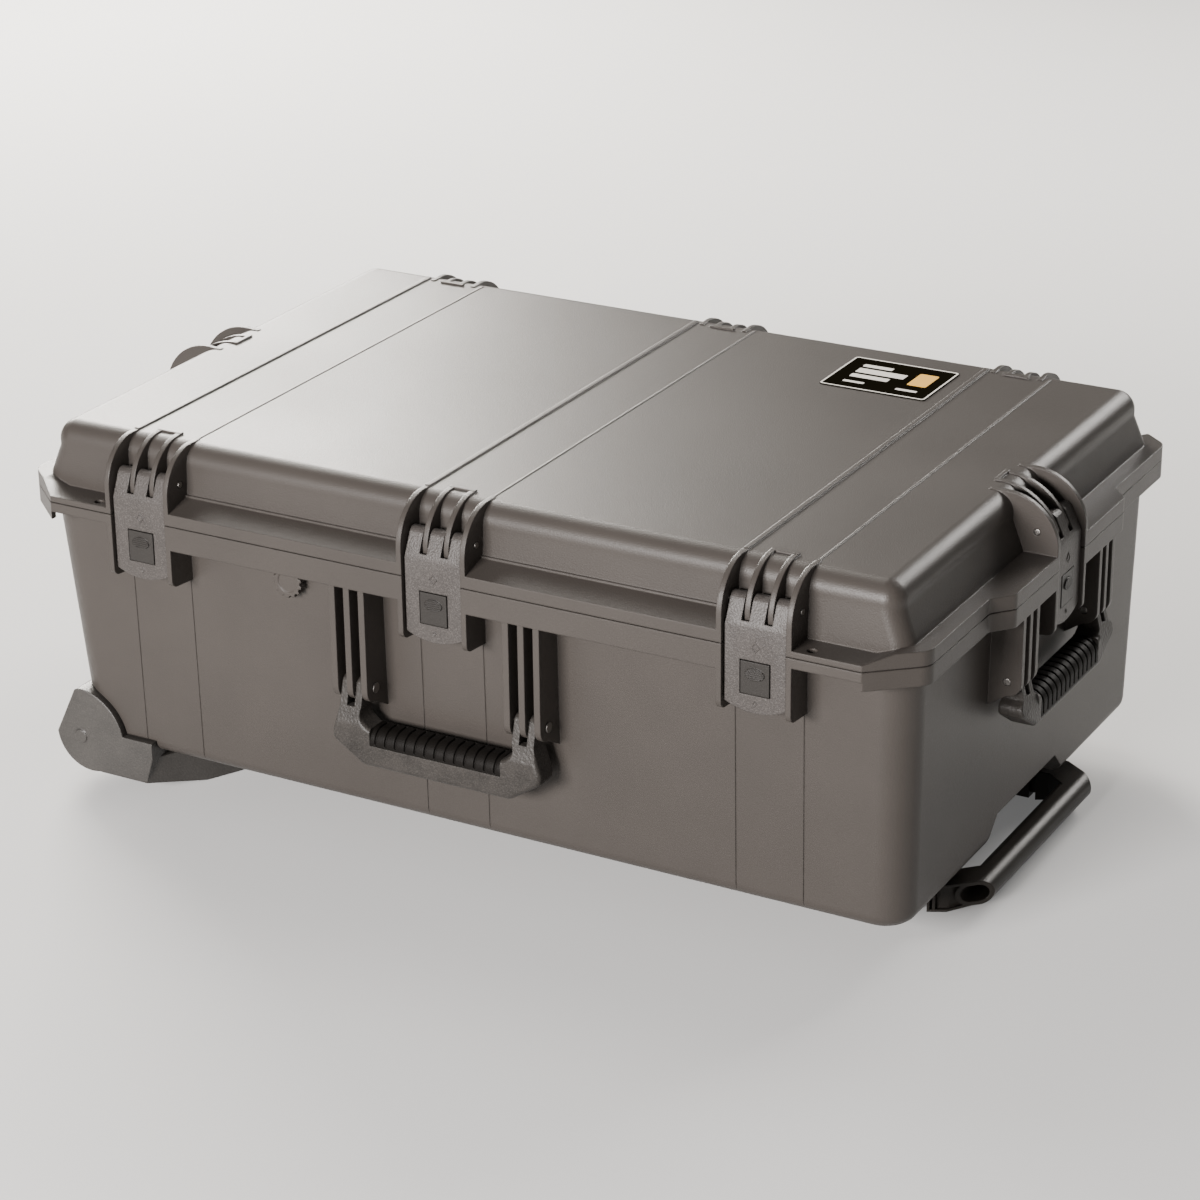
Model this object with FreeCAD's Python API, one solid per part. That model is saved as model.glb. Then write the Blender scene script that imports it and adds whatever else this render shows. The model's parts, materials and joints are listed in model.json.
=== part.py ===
import FreeCAD, Part
import math
import os
from FreeCAD import Vector

# Wheeled hard equipment case: a moulded base and lid, five press-and-pull latches,
# three folding carry handles, two corner wheels and a pull handle that slides under the base.
# Millimetres.  X runs along the case (+X is the pull-handle end), the front faces -Y,
# Z is up and z = 0 is the ground.  The origin is under the middle of the case.

# ---- overall sizes -------------------------------------------------------------------
CASE_LENGTH = 795.0          # over the wide part of the end flanges
FLANGE_DEPTH_FRONT = 258.0   # centre to the front flange face
FLANGE_DEPTH_BACK = 248.5    # centre to the back flange edge
TOTAL_HEIGHT = 310.0
PARTING_Z = 253.0
PARTING_GAP = 0.8            # visible gap between lid and base
LID_TOP_Z = 308.5
FLOOR_Z = 38.0               # underside of the base

# ---- base walls ----------------------------------------------------------------------
WALL = 4.2
FLOOR_THICKNESS = 5.0
BASE_HALF_X_TOP = 373.0
BASE_LEFT_BOTTOM = 352.0     # the wheel end slopes inwards
BASE_RIGHT_BOTTOM = 369.0
BASE_HALF_Y_TOP = 232.0
BASE_HALF_Y_BOTTOM = 227.5
BASE_CORNER = 26.0
BASE_BOTTOM_RADIUS = 12.0
SKIRT_BOTTOM = PARTING_Z - 20.0     # between the outer latches
SKIRT_BOTTOM_SHELF = PARTING_Z - 8.0   # from the outer latches to the corners
SKIRT_BOTTOM_END = PARTING_Z - 14.5
SKIRT_WALL = 4.0
SHELF_THICKNESS = 6.0

# ---- lid -----------------------------------------------------------------------------
DOME_HALF_X = 361.4
DOME_HALF_Y = 230.7
DOME_FOOT_X = 370.0          # the end walls of the dome flare out to their foot
DOME_FOOT_Y = 232.6
DOME_FOOT_Z = 266.0
DOME_SHOULDER_Z = 288.0
DOME_CORNER = 15.0
DOME_RADIUS = 15.5
CAVITY_CORNER = 27.6
CAVITY_RADIUS = 17.6
LID_WALL = 4.4
LIP_HEIGHT = 10.0
SHELF_HEIGHT = 5.0           # the lip is thin between the outer latches and the corners
LEDGE_RISE = 6.0             # the front lip slopes up to the dome between the latches
LEDGE_EDGE = 1.0
LEDGE_BEAD = 1.6
END_LIP_HEIGHT = 11.6
RAMP_END_X = 364.0           # the lip rises from the shelf to its end height up to here
LID_LINE_HALF = 2.1          # raised lines that run across the lid from the latch ribs

# ---- flange outline ------------------------------------------------------------------
NARROW_HALF_X = 383.8
CHAMFER_FRONT_X = 346.2
CHAMFER_FRONT_Y = 226.0
CHAMFER_BACK_X = 362.0
CHAMFER_BACK_Y = 230.0
CHAMFER_RADIUS = 16.0
WIDE_HALF_Y = 107.0
JOG_HALF_Y = 123.0
JOG_RADIUS = 8.0
SEAL_HALF_X = 377.5
SEAL_HALF_Y = 236.0
SEAL_CORNER = 32.0
SEAL_WIDTH = 5.0
SEAL_DEPTH = 2.8
TONGUE = 1.6

# ---- latch stations ------------------------------------------------------------------
LATCH_SPACING = 263.5
RIB_INNER = 25.2
RIB_OUTER = 29.4
MID_RIB = 9.0                # centre of each middle rib
MID_RIB_HALF = 2.1
NOTCH_DEPTH = 14.0           # the flanges are cut back this far behind a latch
LATCH_PIN_D = 17.0           # pin centre behind the flange face
LATCH_PIN_Z = 281.5
LATCH_PIN_R = 2.5
RUNNING = 0.06               # radial clearance of a turning fit
SNUG = 0.02                  # radial clearance of a pin in its fixed ribs
LATCH_HALF = 23.8
LATCH_FACE_D = 3.0
LATCH_BACK_D = 11.0
LATCH_BOTTOM_Z = 206.0
LATCH_SAG = 3.0              # curve of the latch's lower edge
CREASE_Z = 267.3
KNUCKLE_R = 6.8
SLOT_CLEAR_R = 15.5
SLOT_HALF = 3.1
BUTTON_HALF = 11.3
BUTTON_Z = (217.4, 242.2)
BUTTON_GAP = 0.8
BUTTON_RIM = 2.1             # lip that keeps the button behind the window
THUMB_GROOVE_PITCH = 1.6
TOOTH_U = 17.7               # teeth on the back of the latch
TOOTH_HALF = 3.2
KEEPER_Z = 229.0             # underside of the ledge the teeth hook under
UPPER_MARK_Z = 253.5
LOWER_MARK_Z = 210.5
BASE_RIB_BOTTOM = 199.5
WALL_LINE_DEPTH = 0.6        # fine grooves down the wall below each latch
WALL_LINE_HALF = 0.45

# ---- carry handles -------------------------------------------------------------------
BRACKET_SPACING = 75.0       # handle centre to each bracket
BRACKET_PITCH = 12.9
BRACKET_RIB_HALF = 2.6
PIVOT_D = 11.5
PIVOT_R = 3.0
PIVOT_EYE_R = 7.6
TINE = (3.3, 9.3)
FRONT_PIVOT_Z = 151.0
END_PIVOT_Z = 187.0
FRONT_DROP = 60.0            # pivot to the underside of the bar
END_DROP = 44.0
HANDLE_FACE_D = -3.0         # the handle stands proud of the flange
HANDLE_BACK_D = 18.0
BAR_HEIGHT_FRONT = 31.0
BAR_HEIGHT_END = 24.0
HANDLE_EDGE_R = 3.6
GRIP_HALF = 57.0
GRIP_GROOVES = 12
GRIP_GROOVE_DEPTH = 1.5
GRIP_GROOVE_HALF = 0.8
GRIP_ROUND = 11.0
GRIP_BACK_BEVEL = 2.6
GRIP_COVER_FRONT = 13.0      # how far the soft grip reaches down the bar
GRIP_COVER_END = 19.5
FORK_SLOPE = 27.0            # the forks start to lean back this far below the pivot

# ---- back hinge ----------------------------------------------------------------------
HINGE_Y = 255.0
HINGE_Z = 256.0
HINGE_EYE_R = 6.0
HINGE_PIN_R = 2.5
BACK_FACE_Y = 261.0
BASE_LUG = (24.0, 28.0)
LID_LUG = (18.0, 22.0)
BACK_RIB = 7.0

# ---- wheels --------------------------------------------------------------------------
AXLE_X = -354.0
AXLE_Z = 40.0
AXLE_R = 4.0
TYRE_R = 28.5
TYRE_IN_R = 19.0
HUB_R = 18.9
WHEEL_Y = (-214.0, -192.0)
HOUSING_Y = (-233.0, -150.0)
ARCH_R = 42.0
ARCH_GAP = 1.5
CHEEK_R = 23.5
HOUSING_TAIL_X = -284.0
HOUSING_TOP_Z = 47.5
CHEEK_BOTTOM_Z = 11.5
SKID_Y = -186.0              # inboard of this line the housing rests on the ground
SKID_TOP_Z = 32.0
SKID_X = (-290.8, -251.0)    # tail of the skid at the cheek and at its inboard side

# ---- pull handle ---------------------------------------------------------------------
GRIP_CENTRE = (373.8, 18.3)   # middle of the bar's flattened section
GRIP_TILT = 4.0
GRIP_BAR_R = 9.8
GRIP_BAR_HALF = 2.2          # from the middle of the section to the centre of each round
GRIP_HOLLOW_R = 6.7
GRIP_ROOT_X = 341.0
GRIP_ROOT_Z = 0.8
GRIP_WEB_Y = 74.0            # inboard of this line only the bar is left
GRIP_KNEE_IN = (352.0, 92.0)  # the legs spread from the bar to these corners, then run straight back
GRIP_KNEE_OUT = (357.0, 120.0)
GRIP_SPLAY = 0.79            # sideways run of the outer edge for each millimetre back
GRIP_CELL_DEPTH = 4.0
ARM_Y = 105.0
ARM_HALF_Y = 8.0
ARM_Z = (4.5, 17.5)
ARM_WALL = 2.0
ARM_START_X = -230.0
ARM_SOCKET_X = 350.0
GUIDE_X = (-228.0, 335.0)
GUIDE_CLEAR = 0.5
GUIDE_WALL = 3.0
NOTCH_TOP_Z = 61.5           # hand clearance in the end of the base above the grip
NOTCH_HALF_Y = (60.0, 78.0)
GUIDE_SCREW_X = (-205.0, 50.0, 310.0)
SCREW_R = 1.8
SCREW_HEAD_R = 4.2
RIVET_R = 2.0
FOOT_X = (284.0, 321.0)      # skid feet under the pull-handle end
FOOT_SPAN = (118.0, 150.0)

# ---- valve and name plate ------------------------------------------------------------
VALVE_X = -139.7
VALVE_Z = 219.0
VALVE_CAP_R = 12.8
VALVE_STEM_R = 7.0
PLATE_X = (130.5, 222.0)
PLATE_Y = (122.0, 194.0)
PADLOCK_X = 305.0
PADLOCK_Y = -250.0
PADLOCK_R = 3.75

HALF_X = CASE_LENGTH / 2.0
LID_BOTTOM = PARTING_Z + PARTING_GAP / 2.0
BASE_TOP = PARTING_Z - PARTING_GAP / 2.0
LIP_TOP = PARTING_Z + LIP_HEIGHT
SPRING_STRIP = 0.4

os.makedirs("parts", exist_ok=True)


# ---- small building helpers ----------------------------------------------------------
def box(x0, x1, y0, y1, z0, z1):
    """Axis-aligned box from its limits."""
    return Part.makeBox(x1 - x0, y1 - y0, z1 - z0, Vector(x0, y0, z0))


def cylinder(radius, start, end):
    """Round bar between two points."""
    first = Vector(*start)
    along = Vector(*end) - first
    return Part.makeCylinder(radius, along.Length, first, along)


def wire_of(parts):
    """Closed wire from corner points; a ("arc", mid, end) entry bends through mid to end."""
    edges = []
    first = parts[0]
    last = first
    for entry in parts[1:] + [first]:
        if entry[0] == "arc":
            edges.append(Part.Arc(Vector(*last), Vector(*entry[1]), Vector(*entry[2])).toShape())
            last = entry[2]
        elif Vector(*entry).distanceToPoint(Vector(*last)) > 1e-6:
            edges.append(Part.LineSegment(Vector(*last), Vector(*entry)).toShape())
            last = entry
    return Part.Wire(edges)


def prism_u(outline, u0, u1):
    """Solid with a (d, z) outline, extruded along u (local x); d is local y."""
    def lift(point):
        return (u0, point[0], point[1])
    lifted = []
    for entry in outline:
        if entry[0] == "arc":
            lifted.append(("arc", lift(entry[1]), lift(entry[2])))
        else:
            lifted.append(lift(entry))
    return Part.Face(wire_of(lifted)).extrude(Vector(u1 - u0, 0, 0))


def prism_y(outline, y0, y1):
    """Solid with an (x, z) outline, extruded along y."""
    def lift(point):
        return (point[0], y0, point[1])
    lifted = []
    for entry in outline:
        if entry[0] == "arc":
            lifted.append(("arc", lift(entry[1]), lift(entry[2])))
        else:
            lifted.append(lift(entry))
    return Part.Face(wire_of(lifted)).extrude(Vector(0, y1 - y0, 0))


def rounded_corners(points, z):
    """Closed wire at height z through (x, y, radius) corners."""
    entries = []
    for index, (x, y, radius) in enumerate(points):
        corner = Vector(x, y, z)
        if radius == 0:
            entries.append(tuple(corner))
            continue
        before = (Vector(*points[index - 1][:2], z) - corner).normalize()
        after = (Vector(*points[(index + 1) % len(points)][:2], z) - corner).normalize()
        half = before.getAngle(after) / 2.0
        reach = radius / math.tan(half)
        middle = (before + after).normalize() * (radius / math.sin(half) - radius)
        entries.append(tuple(corner + before * reach))
        entries.append(("arc", tuple(corner + middle), tuple(corner + after * reach)))
    return wire_of(entries)


def rounded_wire(x0, x1, y0, y1, radius, z):
    """Rounded rectangle at height z."""
    k = radius * (1.0 - math.sqrt(0.5))
    return wire_of([
        (x0 + radius, y0, z),
        (x1 - radius, y0, z),
        ("arc", (x1 - k, y0 + k, z), (x1, y0 + radius, z)),
        (x1, y1 - radius, z),
        ("arc", (x1 - k, y1 - k, z), (x1 - radius, y1, z)),
        (x0 + radius, y1, z),
        ("arc", (x0 + k, y1 - k, z), (x0, y1 - radius, z)),
        (x0, y0 + radius, z),
        ("arc", (x0 + k, y0 + k, z), (x0 + radius, y0, z)),
    ])


def rounded_block(half_x, half_y, radius, z0, z1):
    """Upright rounded block centred on the origin."""
    face = Part.Face(rounded_wire(-half_x, half_x, -half_y, half_y, radius, z0))
    return face.extrude(Vector(0, 0, z1 - z0))


def fillet_edges(solid, radius, chosen):
    """Fillet the edges that the chosen() test picks."""
    edges = [edge for edge in solid.Edges if chosen(edge)]
    return solid.makeFillet(radius, edges)


def at_height(z):
    """Test for edges that lie wholly at one height."""
    def test(edge):
        return all(abs(vertex.Z - z) < 1e-4 for vertex in edge.Vertexes)
    return test


def at_depth(d):
    """Test for edges that lie wholly at one depth."""
    def test(edge):
        return all(abs(vertex.Y - d) < 1e-4 for vertex in edge.Vertexes)
    return test


def fuse(shapes):
    """Union with the seams between coplanar faces removed."""
    first = shapes[0]
    if len(shapes) > 1:
        first = first.fuse(shapes[1:])
    return first.removeSplitter()


def cut(solid, tools):
    """Subtract a list of tools."""
    return solid.cut(tools) if tools else solid


def mirror_y(shape):
    return shape.mirror(Vector(0, 0, 0), Vector(0, 1, 0))


def mirror_u(shape):
    return shape.mirror(Vector(0, 0, 0), Vector(1, 0, 0))


def export(name, shapes):
    """Write one node; a list of solids becomes one group."""
    solids = shapes if isinstance(shapes, list) else [shapes]
    shape = solids[0] if len(solids) == 1 else Part.makeCompound(solids)
    shape.exportStep("parts/" + name + ".step")
    return shape


# ---- stations round the case ---------------------------------------------------------
# A station's own frame: u to the right as seen from outside, d inwards from the flange
# face, z the real height.  turn places it on the front, right end, left end or back.
class Station:
    def __init__(self, name, turn, offset, face):
        self.name = name
        self.turn = turn
        self.offset = offset      # position of the station along its side
        self.face = face          # centre of the case to this side's flange face
        self.dome_d = face - (DOME_HALF_Y if turn in (0, 180) else DOME_HALF_X)

    def place(self, shape):
        """Carry a shape from the station's frame to the case frame."""
        moved = shape.copy()
        moved.translate(Vector(self.offset, -self.face, 0))
        moved.rotate(Vector(0, 0, 0), Vector(0, 0, 1), self.turn)
        return moved

    def wall_d(self, z):
        """Depth of the base's outer wall surface at a height."""
        share = (PARTING_Z - z) / (PARTING_Z - FLOOR_Z)
        if self.turn in (0, 180):
            half = BASE_HALF_Y_TOP - (BASE_HALF_Y_TOP - BASE_HALF_Y_BOTTOM) * share
        else:
            bottom = BASE_RIGHT_BOTTOM if self.turn == 90 else BASE_LEFT_BOTTOM
            half = BASE_HALF_X_TOP - (BASE_HALF_X_TOP - bottom) * share
        return self.face - half


FRONT_STATIONS = [
    Station("front_left", 0, -LATCH_SPACING, FLANGE_DEPTH_FRONT),
    Station("front_middle", 0, 0.0, FLANGE_DEPTH_FRONT),
    Station("front_right", 0, LATCH_SPACING, FLANGE_DEPTH_FRONT),
]
RIGHT_STATION = Station("right_end", 90, 0.0, HALF_X)
LEFT_STATION = Station("left_end", 270, 0.0, HALF_X)
LATCH_STATIONS = FRONT_STATIONS + [RIGHT_STATION, LEFT_STATION]
BACK_STATIONS = [Station("back", 180, offset, BACK_FACE_Y)
                 for offset in (-LATCH_SPACING, 0.0, LATCH_SPACING)]
HANDLES = [
    (Station("front", 0, 0.0, FLANGE_DEPTH_FRONT), FRONT_PIVOT_Z, FRONT_DROP, BAR_HEIGHT_FRONT,
     GRIP_COVER_FRONT),
    (Station("right", 90, 0.0, HALF_X), END_PIVOT_Z, END_DROP, BAR_HEIGHT_END, GRIP_COVER_END),
    (Station("left", 270, 0.0, HALF_X), END_PIVOT_Z, END_DROP, BAR_HEIGHT_END, GRIP_COVER_END),
]


def flange(inset, z0, z1):
    """Slab with the outline of the flange, moved inwards by inset."""
    front = FLANGE_DEPTH_FRONT - inset
    back = FLANGE_DEPTH_BACK - inset
    narrow = NARROW_HALF_X - inset
    wide = HALF_X - inset
    bevel = inset * 0.4
    right = [
        (CHAMFER_FRONT_X - bevel, -front, 0.0),
        (narrow, -CHAMFER_FRONT_Y + bevel, CHAMFER_RADIUS),
        (narrow, -JOG_HALF_Y + bevel, JOG_RADIUS),
        (wide, -WIDE_HALF_Y + bevel, JOG_RADIUS),
        (wide, WIDE_HALF_Y - bevel, JOG_RADIUS),
        (narrow, JOG_HALF_Y - bevel, JOG_RADIUS),
        (narrow, CHAMFER_BACK_Y - bevel, CHAMFER_RADIUS),
        (CHAMFER_BACK_X - bevel, back, 0.0),
    ]
    left = [(-x, y, radius) for x, y, radius in reversed(right)]
    return Part.Face(rounded_corners(right + left, z0)).extrude(Vector(0, 0, z1 - z0))


def across_case(half_outline, far_z):
    """Band across the whole depth whose edge follows (x, z) points, mirrored about the middle."""
    left = [(-x, z) for x, z in reversed(half_outline)]
    return prism_y([(-HALF_X - 5.0, far_z)] + left + half_outline + [(HALF_X + 5.0, far_z)],
                   -HINGE_Y - 20.0, HINGE_Y + 20.0)


# ---- base shell ----------------------------------------------------------------------
def base_block(inset, z_bottom, z_top, bottom_radius):
    """Drafted block of the base; inset moves every wall inwards."""
    wires = []
    for z in (z_bottom, z_top):
        share = (PARTING_Z - z) / (PARTING_Z - FLOOR_Z)
        left = BASE_HALF_X_TOP - (BASE_HALF_X_TOP - BASE_LEFT_BOTTOM) * share - inset
        right = BASE_HALF_X_TOP - (BASE_HALF_X_TOP - BASE_RIGHT_BOTTOM) * share - inset
        half_y = BASE_HALF_Y_TOP - (BASE_HALF_Y_TOP - BASE_HALF_Y_BOTTOM) * share - inset
        wires.append(rounded_wire(-left, right, -half_y, half_y, BASE_CORNER - inset, z))
    block = Part.makeLoft(wires, True, True)
    return fillet_edges(block, bottom_radius, at_height(z_bottom))


def wheel_well(grow):
    """Space under the front wheel corner, enlarged by grow."""
    y0 = HOUSING_Y[0] - 10.0
    y1 = HOUSING_Y[1] + ARCH_GAP + grow
    radius = ARCH_R + ARCH_GAP + grow
    arch = cylinder(radius, (AXLE_X, y0, AXLE_Z), (AXLE_X, y1, AXLE_Z))
    tail = box(AXLE_X, HOUSING_TAIL_X + ARCH_GAP + grow, y0, y1, 0.0, HOUSING_TOP_Z + ARCH_GAP + grow)
    return arch.fuse(tail)


def hand_notch(grow):
    """Hand clearance over the pull grip, with sloping shoulders."""
    top = NOTCH_TOP_Z + grow
    inner, outer = NOTCH_HALF_Y[0] + grow, NOTCH_HALF_Y[1] + grow
    mid = (inner + outer) / 2.0
    low = FLOOR_Z - 1.0
    bend = 3.0
    x0 = GRIP_ROOT_X - 12.0 - grow
    outline = [
        (-outer, low), (outer, low),
        ("arc", (mid + bend, (low + top) / 2.0 - bend), (mid, (low + top) / 2.0)),
        ("arc", (mid - bend, (low + top) / 2.0 + bend), (inner - bend, top)),
        (-inner + bend, top),
        ("arc", (-mid + bend, (low + top) / 2.0 + bend), (-mid, (low + top) / 2.0)),
    ]
    lifted = []
    for entry in outline:
        if entry[0] == "arc":
            lifted.append(("arc", (x0, *entry[1]), (x0, *entry[2])))
        else:
            lifted.append((x0, *entry))
    return Part.Face(wire_of(lifted)).extrude(Vector(HALF_X - x0, 0, 0))


def base_rib(station, u0, u1):
    """Rib beside a latch, under the base flange."""
    low = BASE_RIB_BOTTOM
    outline = [
        (0.0, BASE_TOP), (0.0, low + 9.0),
        ("arc", (1.7, low + 4.2), (6.0, low + 2.0)),
        (station.wall_d(low) + 2.0, low),
        (station.wall_d(BASE_TOP) + 2.0, BASE_TOP),
    ]
    return prism_u(outline, u0, u1)


def bracket_rib(station, pivot_z, u):
    """One of the three ribs that hold a handle pin."""
    swing = PIVOT_D - 0.3
    k = swing * math.sqrt(0.5)
    low = pivot_z - 22.0
    outline = [
        (0.3, BASE_TOP - 1.0), (0.3, pivot_z),
        ("arc", (PIVOT_D - k, pivot_z - k), (PIVOT_D, pivot_z - swing)),
        (station.wall_d(low) + 2.0, low),
        (station.wall_d(BASE_TOP) + 2.0, BASE_TOP - 1.0),
    ]
    return prism_u(outline, u - BRACKET_RIB_HALF, u + BRACKET_RIB_HALF)


def wall_lines():
    """Cutters for the fine grooves down the front wall, one pair below each latch."""
    skin = base_block(-1.0, FLOOR_Z, BASE_TOP, BASE_BOTTOM_RADIUS)
    skin = skin.cut(base_block(WALL_LINE_DEPTH, FLOOR_Z - 1.0, BASE_TOP + 1.0, BASE_BOTTOM_RADIUS))
    lines = []
    for station in FRONT_STATIONS:
        for side in (-1, 1):
            x = station.offset + side * (RIB_INNER + RIB_OUTER) / 2.0
            slit = box(x - WALL_LINE_HALF, x + WALL_LINE_HALF, -FLANGE_DEPTH_FRONT,
                       -BASE_HALF_Y_BOTTOM + 15.0, FLOOR_Z - 2.0, BASE_RIB_BOTTOM)
            lines.append(slit.common(skin))
    return lines


def keeper(station):
    """Ledge that the latch teeth hook under."""
    back = station.wall_d(KEEPER_Z) + 2.0
    block = box(-RIB_INNER - 1.0, RIB_INNER + 1.0, NOTCH_DEPTH, back, KEEPER_Z, BASE_TOP)
    lips = []
    for side in (-1, 1):
        u = side * TOOTH_U
        lips.append(box(u - TOOTH_HALF - 0.1, u + TOOTH_HALF + 0.1, NOTCH_DEPTH - 2.0, NOTCH_DEPTH + 1.0,
                        KEEPER_Z, KEEPER_Z + 4.0))
    return block.fuse(lips)


def back_base_lug(station, u0, u1):
    """Hinge lug of the base with its rib down the back wall."""
    low = BASE_RIB_BOTTOM
    eye_d = BACK_FACE_Y - HINGE_Y
    outline = [
        (eye_d - HINGE_EYE_R, HINGE_Z), (3.0, BASE_TOP - 14.0), (3.0, low + 9.0),
        ("arc", (4.7, low + 4.2), (9.0, low + 2.0)),
        (station.wall_d(low) + 2.0, low),
        (station.wall_d(BASE_TOP) + 2.0, BASE_TOP),
        (eye_d + HINGE_EYE_R, BASE_TOP), (eye_d + HINGE_EYE_R, HINGE_Z),
    ]
    eye = cylinder(HINGE_EYE_R, (u0, eye_d, HINGE_Z), (u1, eye_d, HINGE_Z))
    return prism_u(outline, u0, u1).fuse(eye)


def sealing_ring(width, z0, z1):
    """Rounded ring round the flange, centred on the sealing line."""
    half = width / 2.0
    outer = rounded_block(SEAL_HALF_X + half, SEAL_HALF_Y + half, SEAL_CORNER + half, z0, z1)
    inner = rounded_block(SEAL_HALF_X - half, SEAL_HALF_Y - half, SEAL_CORNER - half, z0, z1)
    return outer.cut(inner)


def latch_notches(z0, z1):
    """Gaps in a flange that the latches fold into."""
    return [station.place(box(-RIB_INNER, RIB_INNER, -5.0, NOTCH_DEPTH, z0, z1))
            for station in LATCH_STATIONS]


def make_base():
    outer = base_block(0.0, FLOOR_Z, BASE_TOP, BASE_BOTTOM_RADIUS)
    inner = base_block(WALL, FLOOR_Z + FLOOR_THICKNESS, BASE_TOP + 5.0, BASE_BOTTOM_RADIUS - 3.0)
    shelf_x = LATCH_SPACING + RIB_OUTER
    below = across_case([(shelf_x, SKIRT_BOTTOM), (shelf_x, SKIRT_BOTTOM_SHELF),
                         (CHAMFER_FRONT_X, SKIRT_BOTTOM_SHELF), (CHAMFER_FRONT_X, SKIRT_BOTTOM_END),
                         (HALF_X + 5.0, SKIRT_BOTTOM_END)], SKIRT_BOTTOM - 5.0)
    skirt = flange(0.0, SKIRT_BOTTOM, BASE_TOP)
    skirt = skirt.cut([flange(SKIRT_WALL, SKIRT_BOTTOM - 1.0, BASE_TOP - SHELF_THICKNESS), below])
    skirt = skirt.cut(latch_notches(SKIRT_BOTTOM - 5.0, BASE_TOP + 5.0))
    additions = [skirt, sealing_ring(TONGUE, BASE_TOP - 1.0, BASE_TOP + TONGUE)]
    for station in LATCH_STATIONS:
        for u0, u1 in ((-RIB_OUTER, -RIB_INNER), (RIB_INNER, RIB_OUTER)):
            additions.append(station.place(base_rib(station, u0, u1)))
        additions.append(station.place(keeper(station)))
    pin_holes = []
    for station, pivot_z, _, _, _ in HANDLES:
        for side in (-1, 1):
            for step in (-1, 0, 1):
                u = side * BRACKET_SPACING + step * BRACKET_PITCH
                additions.append(station.place(bracket_rib(station, pivot_z, u)))
            centre = side * BRACKET_SPACING
            hole = cylinder(PIVOT_R + SNUG, (centre - 18.0, PIVOT_D, pivot_z),
                            (centre + 18.0, PIVOT_D, pivot_z))
            pin_holes.append(station.place(hole))
    for station in BACK_STATIONS:
        eye_d = BACK_FACE_Y - HINGE_Y
        for side in (-1, 1):
            lug = back_base_lug(station, BASE_LUG[0], BASE_LUG[1])
            additions.append(station.place(lug if side > 0 else mirror_u(lug)))
        hole = cylinder(HINGE_PIN_R + SNUG, (-30.0, eye_d, HINGE_Z), (30.0, eye_d, HINGE_Z))
        pin_holes.append(station.place(hole))
    wells = [wheel_well(0.0), mirror_y(wheel_well(0.0)), hand_notch(0.0)]
    thick_wells = [wheel_well(WALL), mirror_y(wheel_well(WALL)), hand_notch(WALL)]
    body = outer.fuse(additions)
    body = body.cut(inner.cut(thick_wells))
    body = body.cut(wells + pin_holes + wall_lines())
    for side in (-1, 1):
        body = body.cut(cylinder(PADLOCK_R, (side * PADLOCK_X, PADLOCK_Y, SKIRT_BOTTOM),
                                 (side * PADLOCK_X, PADLOCK_Y, PARTING_Z)))
    valve_hole = cylinder(VALVE_STEM_R + SNUG, (VALVE_X, -FLANGE_DEPTH_FRONT, VALVE_Z),
                          (VALVE_X, -BASE_HALF_Y_TOP + 30.0, VALVE_Z))
    body = body.cut(valve_hole)
    return body.removeSplitter()


# ---- lid -----------------------------------------------------------------------------
def dome_inside(station, lift):
    """Part of a rib outline that lies within the thickness of the dome wall."""
    d = station.dome_d + 2.0
    centre_d = station.dome_d + DOME_RADIUS
    centre_z = LID_TOP_Z - DOME_RADIUS
    r = DOME_RADIUS - 2.0
    k = r * math.sqrt(0.5)
    return [
        (centre_d + lift, LID_TOP_Z - 2.0), (centre_d, LID_TOP_Z - 2.0),
        ("arc", (centre_d - k, centre_z + k), (d, centre_z)),
        (d, LID_BOTTOM + 1.0),
    ]


def outer_lid_rib(station, u0, u1):
    """Tall rib beside a latch, from the lip over the edge of the dome."""
    reach = station.dome_d
    run = 4.0
    outline = [
        (0.0, LID_BOTTOM), (0.0, 274.0),
        ("arc", (reach * 0.40, 299.5), (reach + 13.0, LID_TOP_Z + 0.6)),
        (reach + DOME_RADIUS + run, LID_TOP_Z + 0.6),
    ] + dome_inside(station, run) + [(reach + 2.0, LID_BOTTOM)]
    return prism_u(outline, u0, u1)


def middle_lid_rib(station, side):
    """Arched rib between the latch fingers."""
    reach = station.dome_d
    run = 8.0
    outline = [
        (LATCH_PIN_D - 8.5, 270.5), (LATCH_PIN_D - 8.8, 277.0),
        ("arc", (reach * 0.66, 298.0), (reach + 19.0, TOTAL_HEIGHT - 0.3)),
        (reach + DOME_RADIUS + run, TOTAL_HEIGHT),
    ] + dome_inside(station, run)[:3] + [(reach + 2.0, 268.5)]
    return prism_u(outline, side * MID_RIB - MID_RIB_HALF, side * MID_RIB + MID_RIB_HALF)


def hoop_bar(station):
    """Cross bar that joins the two middle ribs on top of the dome."""
    d = station.dome_d + DOME_RADIUS + 8.0
    return box(-MID_RIB - MID_RIB_HALF, MID_RIB + MID_RIB_HALF, d - 3.5, d, LID_TOP_Z - 1.0, TOTAL_HEIGHT)


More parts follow.
